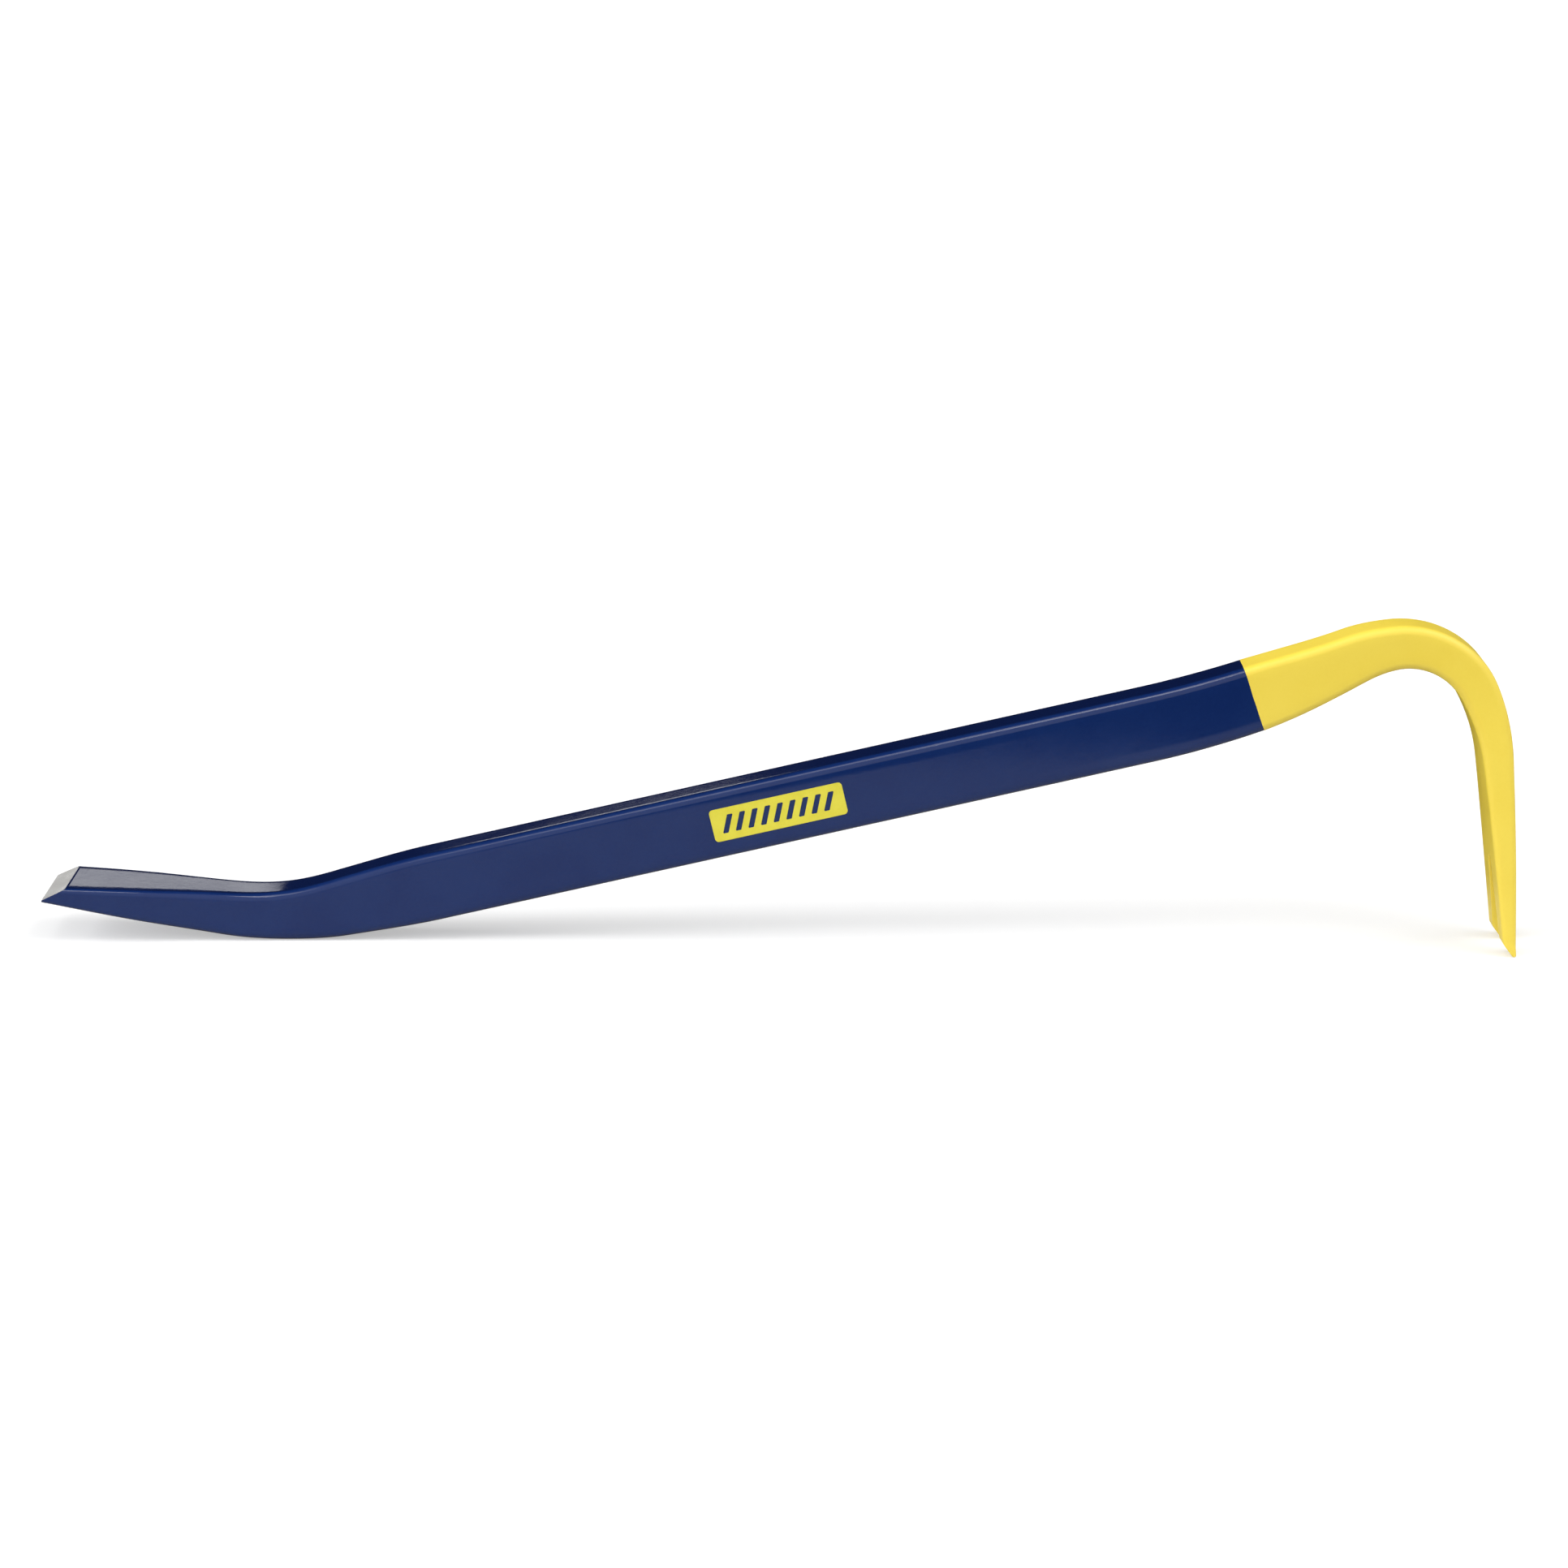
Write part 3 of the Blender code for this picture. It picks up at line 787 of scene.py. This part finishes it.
def claw_rows(inset, step):
    """The rows down both tines, from the slot's root to the rounded end of the claw."""
    stop = BAR_END - inset + SKIN
    first = BAR_END - SLOT_LENGTH - inset - SLOT_EASE
    rows = []
    end_run = SLOT_RUN - (inset - SKIN + EDGE_EASE) / cos(SLOT_HALF_ANGLE)
    runs = marks(0.0, SLOT_ARC, SLOT_ARC / ROOT_ROWS) + marks(SLOT_ARC, end_run, step)[1:]
    for run in runs:
        rows.append(half_row(mixed(first, stop - EDGE_EASE, run / end_run), inset, run, inset))
    for turn in arc_marks(END_ROWS)[1:]:
        drawn_in = EDGE_EASE * (1 - cos(turn))
        distance = stop - EDGE_EASE * (1 - sin(turn))
        run = end_run + (distance - stop + EDGE_EASE) / cos(SLOT_HALF_ANGLE)
        rows.append(half_row(distance, inset + drawn_in, run, inset + drawn_in))
    return rows


def quads(bm, first, second, closing):
    """Faces between two rows of points, and across their ends where they close."""
    last = len(first) if closing else len(first) - 1
    for i in range(last):
        j = (i + 1) % len(first)
        bm.faces.new((first[i], first[j], second[j], second[i]))


def yellow_mesh():
    """The bright coat as a closed shell: down its inside, round the lip, and down its outside."""
    lip = [
        (LIP_WIDTH, SKIN - LIP_FOOT),
        (0.0, SKIN - LIP_FOOT),
        (0.0, SKIN - 0.6 * PAINT_LIP),
        (PAINT_LIP, SKIN - PAINT_LIP),
        (LIP_WIDTH, SKIN - PAINT_LIP),
        (LIP_FADE, SKIN - 0.3 * PAINT_LIP),
    ]
    slot_start = BAR_END - SLOT_LENGTH - SLOT_EASE
    inner_marks = marks(slot_start - INNER_SLOT_APPROACH, PAINT_LINE + INNER_LINE_APPROACH, INNER_STEP)
    outer_marks = marks(PAINT_LINE + WAVE_REACH, END_OF["neck"], STEP)
    outer_marks += marks(END_OF["neck"], END_OF["throat"], BEND_STEP)[1:]
    outer_marks += marks(END_OF["throat"], slot_start - SLOT_APPROACH, STEP)[1:]
    rows = claw_rows(SKIN + FILM, STEP)[::-1]
    rows += [half_row(mark, SKIN + FILM) for mark in inner_marks]
    rows += [half_row(PAINT_LINE + past, inset) for past, inset in lip]
    rows += [half_row(mark, SKIN) for mark in outer_marks]
    rows += claw_rows(SKIN, BEND_STEP)
    bm = bmesh.new()
    made = [([bm.verts.new(p) for p in row], [bm.verts.new(p) for p in wall]) for row, wall in rows]
    for (row, wall), (following, following_wall) in zip(made, made[1:]):
        if wall and following_wall:
            quads(bm, row + wall, following + following_wall, True)
        else:
            quads(bm, row, following, False)
    for row, wall in (made[0], made[-1]):
        bm.faces.new(row + wall)
    half = bm.verts[:] + bm.edges[:] + bm.faces[:]
    other = bmesh.ops.duplicate(bm, geom=half)["geom"]
    mirrored = [item for item in other if isinstance(item, bmesh.types.BMVert)]
    bmesh.ops.scale(bm, vec=(1.0, -1.0, 1.0), verts=mirrored)
    same = 1e-7
    middle = [v for v in bm.verts if abs(v.co.y) < same]
    bmesh.ops.remove_doubles(bm, verts=middle, dist=same)
    bmesh.ops.recalc_face_normals(bm, faces=bm.faces)
    mesh = bpy.data.meshes.new("yellow_coat")
    bm.to_mesh(mesh)
    bm.free()
    return mesh


yellow = enamel(
    "yellow_enamel_gloss",
    full=(0.85, 0.645, 0.066),
    thin=(0.87, 0.670, 0.074),
    roughness=(0.36, 0.46),
    peel_size=0.0030,
    peel_strength=0.08,
)
yellow_coat = new_object("yellow_coat", yellow_mesh())
grow(
    yellow_coat,
    FORGED_SWELL,
    {"Depth": SWELL_DEPTH, "Size": SWELL_SIZE, "Seed": 2.0, "Material": yellow},
)
yellow_coat.data.shade_smooth()
yellow_coat.data.set_sharp_from_angle(angle=radians(50))
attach(yellow_coat, "root")
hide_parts("yellow_enamel")

# ---------------------------------------------------------------------------------------------
# The label. A thin yellow film stuck on the near side of the shank, die-cut with a row of slanted
# windows that show the navy behind.

LABEL_LENGTH = 0.0420
LABEL_HEIGHT = 0.0104
LABEL_FROM_SHANK_START = 0.1095
CORNER_STEPS = 5


def label_tree():
    """A film with round corners and a row of slanted windows, flat on XY."""
    tree, given, result = new_tree(
        "windowed_film",
        "GeometryNodeTree",
        {
            "Seed": ("NodeSocketGeometry", None),
            "Length": ("NodeSocketFloat", LABEL_LENGTH),
            "Height": ("NodeSocketFloat", LABEL_HEIGHT),
            "Corner Radius": ("NodeSocketFloat", 0.0012),
            "Thickness": ("NodeSocketFloat", 0.0001),
            "Window Count": ("NodeSocketInt", 9),
            "Window Pitch": ("NodeSocketFloat", 0.004),
            "Window Width": ("NodeSocketFloat", 0.0018),
            "Window Height": ("NodeSocketFloat", 0.0058),
            "Window Lean": ("NodeSocketFloat", 0.0026),
            "Window Corner": ("NodeSocketFloat", 0.0003),
            "Material": ("NodeSocketMaterial", None),
        },
        {"Film": "NodeSocketGeometry"},
    )
    sheet = put(
        tree,
        "GeometryNodeCurvePrimitiveQuadrilateral",
        {"Width": given["Length"], "Height": given["Height"]},
        mode="RECTANGLE",
    )
    window = put(
        tree,
        "GeometryNodeCurvePrimitiveQuadrilateral",
        {"Width": given["Window Width"], "Height": given["Window Height"], "Offset": given["Window Lean"]},
        mode="PARALLELOGRAM",
    )
    rounded = []
    for shape, radius in ((sheet, given["Corner Radius"]), (window, given["Window Corner"])):
        feeds = {"Curve": shape.outputs[0], "Count": CORNER_STEPS, "Radius": radius}
        rounded.append(put(tree, "GeometryNodeFilletCurve", feeds, mode="POLY").outputs[0])
    gaps = calc(tree, "SUBTRACT", given["Window Count"], 1.0)
    first = calc(tree, "MULTIPLY", calc(tree, "MULTIPLY", gaps, given["Window Pitch"]), -0.5)
    places = put(
        tree,
        "GeometryNodeMeshLine",
        {
            "Count": given["Window Count"],
            "Start Location": put(tree, "ShaderNodeCombineXYZ", {"X": first}).outputs[0],
            "Offset": put(tree, "ShaderNodeCombineXYZ", {"X": given["Window Pitch"]}).outputs[0],
        },
    )
    row = put(tree, "GeometryNodeInstanceOnPoints", {"Points": places.outputs[0], "Instance": rounded[1]})
    joined = put(tree, "GeometryNodeJoinGeometry")
    for part in (rounded[0], row.outputs[0]):
        tree.links.new(part, joined.inputs[0])
    loose = put(tree, "GeometryNodeRealizeInstances", {"Geometry": joined.outputs[0]})
    flat = put(tree, "GeometryNodeFillCurve", {"Curve": loose.outputs[0]})
    lift = put(tree, "ShaderNodeCombineXYZ", {"Z": given["Thickness"]})
    raised = put(
        tree,
        "GeometryNodeExtrudeMesh",
        {"Mesh": flat.outputs[0], "Offset": lift.outputs[0], "Offset Scale": 1.0, "Individual": False},
    )
    under = put(tree, "GeometryNodeFlipFaces", {"Mesh": flat.outputs[0]})
    closed = put(tree, "GeometryNodeJoinGeometry")
    for part in (raised.outputs["Mesh"], under.outputs[0]):
        tree.links.new(part, closed.inputs[0])
    welded = put(tree, "GeometryNodeMergeByDistance", {"Geometry": closed.outputs[0], "Distance": 0.000001})
    real = put(tree, "GeometryNodeRealizeInstances", {"Geometry": welded.outputs[0]})
    finish = put(
        tree,
        "GeometryNodeSetMaterial",
        {"Geometry": real.outputs[0], "Material": given["Material"]},
    )
    tree.links.new(finish.outputs[0], result["Film"])
    return tree


def label_film():
    """Satin yellow film, a little cloudy, with the faint texture of its adhesive."""
    material, tree, shader, coordinates = new_material("label_film_print")
    tone = group(tree, MOTTLE, {"Vector": coordinates, "Cloud Size": 0.006, "Grain Size": 0.0005})
    colour = between(tree, tone, (0.69, 0.61, 0.042), (0.74, 0.67, 0.056))
    tree.links.new(colour, shader.inputs["Base Color"])
    tree.links.new(ranged(tree, tone, 0.32, 0.48), shader.inputs["Roughness"])
    bump = put(tree, "ShaderNodeBump", {"Height": tone, "Strength": 0.2, "Distance": 0.00001})
    tree.links.new(bump.outputs[0], shader.inputs["Normal"])
    return material


label = new_object("side_label", bpy.data.meshes.new("label_seed"))
grow(label, label_tree(), {"Length": LABEL_LENGTH, "Height": LABEL_HEIGHT, "Material": label_film()})
near_side = SKIN - size_at(WIDTHS, END_OF["root"]) / 2
label_middle = bar_point(END_OF["root"] + LABEL_FROM_SHANK_START, 0.0, near_side)
to_side = Matrix.Rotation(-shank_heading, 4, "Y") @ Matrix.Rotation(pi / 2, 4, "X")
label.data.transform(Matrix.Translation(label_middle) @ to_side)
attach(label, "root")
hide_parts("label_panel")

# ---------------------------------------------------------------------------------------------
# The studio. A pale floor that runs on past the view, with soft boxes overhead and at the sides, an
# even sky in front, and a dark gap behind the bar, which keeps the upper faces of the navy deep. Two
# small cards stand in that gap, for the blade's top and the ground bevel.

FLOOR_HALF = 9.0
FLOOR_Z = -0.0001
floor_mesh = bpy.data.meshes.new("floor")
corners = [(-1, -1), (1, -1), (1, 1), (-1, 1)]
floor_mesh.from_pydata([(x * FLOOR_HALF, y * FLOOR_HALF, FLOOR_Z) for x, y in corners], [], [(0, 1, 2, 3)])
floor = new_object("floor", floor_mesh)
floor_paper, floor_tree, floor_shader, floor_place = new_material("floor_paper")
paper = group(floor_tree, MOTTLE, {"Vector": floor_place, "Cloud Size": 0.8, "Grain Size": 0.002})
paper_tone = between(floor_tree, paper, (0.62, 0.62, 0.62), (0.64, 0.64, 0.64))
floor_seen = put(floor_tree, "ShaderNodeLightPath").outputs["Is Camera Ray"]
floor_depth = put(floor_tree, "ShaderNodeSeparateXYZ", {"Vector": floor_place}).outputs["Y"]
# The enamel mirrors only a strip of pale paper under the bar. Before and behind it the paper is black.
STRIP_Y = -0.095
from_strip = calc(floor_tree, "ABSOLUTE", calc(floor_tree, "SUBTRACT", floor_depth, STRIP_Y))
strip = put(
    floor_tree,
    "ShaderNodeMapRange",
    {"Value": from_strip, "From Min": 0.122, "From Max": 0.165, "To Min": 1.0, "To Max": 0.0},
    interpolation_type="SMOOTHSTEP",
).outputs[0]
lit = put(
    floor_tree,
    "ShaderNodeMix",
    {0: calc(floor_tree, "MAXIMUM", strip, floor_seen), 6: (0.02, 0.02, 0.02, 1.0), 7: paper_tone},
    data_type="RGBA",
)
floor_tree.links.new(lit.outputs[2], floor_shader.inputs["Base Color"])
floor_shader.inputs["Roughness"].default_value = 0.9
floor_shader.inputs["Specular IOR Level"].default_value = 0.0
# The paper is lit from below, more so towards the back, but only the camera sees that glow.
glow = put(
    floor_tree,
    "ShaderNodeMapRange",
    {"Value": floor_depth, "From Min": -0.2, "From Max": 3.0, "To Min": 0.42, "To Max": 1.0},
    interpolation_type="SMOOTHSTEP",
).outputs[0]
glow_seen = calc(floor_tree, "MULTIPLY", glow, floor_seen)
floor_tree.links.new(glow_seen, floor_shader.inputs["Emission Strength"])
floor_shader.inputs["Emission Color"].default_value = (1.0, 1.0, 1.0, 1.0)
floor_mesh.materials.append(floor_paper)


def soft_box(name, place, width, height, brightness):
    """A rectangle of even light that faces the bar; its brightness is its radiance."""
    light = bpy.data.lights.new(name, "AREA")
    light.shape = "RECTANGLE"
    light.size = width
    light.size_y = height
    light.energy = brightness * pi * width * height
    obj = new_object(name, light)
    obj.location = place
    obj.rotation_mode = "QUATERNION"
    obj.rotation_quaternion = Vector(place).to_track_quat("Z", "Y")
    obj.visible_camera = False


# Each box's place, width, height and brightness.
SOFT_BOXES = {
    "overhead_key": ((-0.55, -1.6, 3.9), 0.36, 1.9, 6.5),
    "overhead_fill": ((-1.15, -1.6, 3.9), 0.80, 1.9, 2.6),
    "left_box": ((-2.2, -0.6, 1.2), 1.6, 1.6, 4.8),
    "right_box": ((1.4, -0.4, 1.9), 1.6, 1.8, 2.7),
    "blade_card": ((-0.63, 3.0, 0.968), 0.36, 0.22, 1.62),
    "bevel_card": ((-0.47, 0.58, 0.06), 0.16, 0.12, 1.1),
}
for box_name, box_settings in SOFT_BOXES.items():
    soft_box(box_name, *box_settings)

world = bpy.data.worlds.new("studio")
world.use_nodes = True
sky = world.node_tree
way = put(sky, "ShaderNodeTexCoord").outputs["Generated"]
parts = put(sky, "ShaderNodeSeparateXYZ", {"Vector": way}).outputs
front = put(
    sky,
    "ShaderNodeMapRange",
    {"Value": parts["Y"], "From Min": 0.1, "From Max": -0.4, "To Min": 0.01, "To Max": 1.02},
    interpolation_type="SMOOTHSTEP",
)
aside = calc(sky, "ABSOLUTE", parts["X"])
sides = put(
    sky,
    "ShaderNodeMapRange",
    {"Value": aside, "From Min": 0.42, "From Max": 0.62, "To Min": 0.0, "To Max": 0.5},
    interpolation_type="SMOOTHSTEP",
)
ambient = calc(sky, "MAXIMUM", front.outputs[0], sides.outputs[0])
seen = put(sky, "ShaderNodeLightPath").outputs["Is Camera Ray"]
strength = calc(sky, "MULTIPLY_ADD", seen, calc(sky, "SUBTRACT", 1.0, ambient), ambient)
background = sky.nodes["Background"]
background.inputs["Color"].default_value = (1.0, 1.0, 1.0, 1.0)
sky.links.new(strength, background.inputs["Strength"])
bpy.context.scene.world = world
bpy.context.scene.view_settings.view_transform = "Standard"

# ---------------------------------------------------------------------------------------------
# The camera. It stands in front of the bar's middle, with a long lens, and looks a little down on it.
# It is rolled by about half a degree, so that the bar's slope comes out right.

CAMERA_PITCH = radians(15.8)
CAMERA_ROLL = radians(0.529)
CAMERA_DISTANCE = 1.138
CAMERA_AIM = Vector((0.0008, 0.0, 0.0502))
camera_data = bpy.data.cameras.new("camera")
camera_data.lens = 84.3
camera_data.sensor_width = 36.0
camera_data.clip_start = 0.01
camera_data.clip_end = 50.0
camera = new_object("camera", camera_data)
camera.location = CAMERA_AIM + CAMERA_DISTANCE * Vector((0.0, -cos(CAMERA_PITCH), sin(CAMERA_PITCH)))
camera.rotation_mode = "QUATERNION"
level = Matrix.Rotation(pi / 2 - CAMERA_PITCH, 4, "X")
camera.rotation_quaternion = (level @ Matrix.Rotation(CAMERA_ROLL, 4, "Z")).to_quaternion()
bpy.context.scene.camera = camera
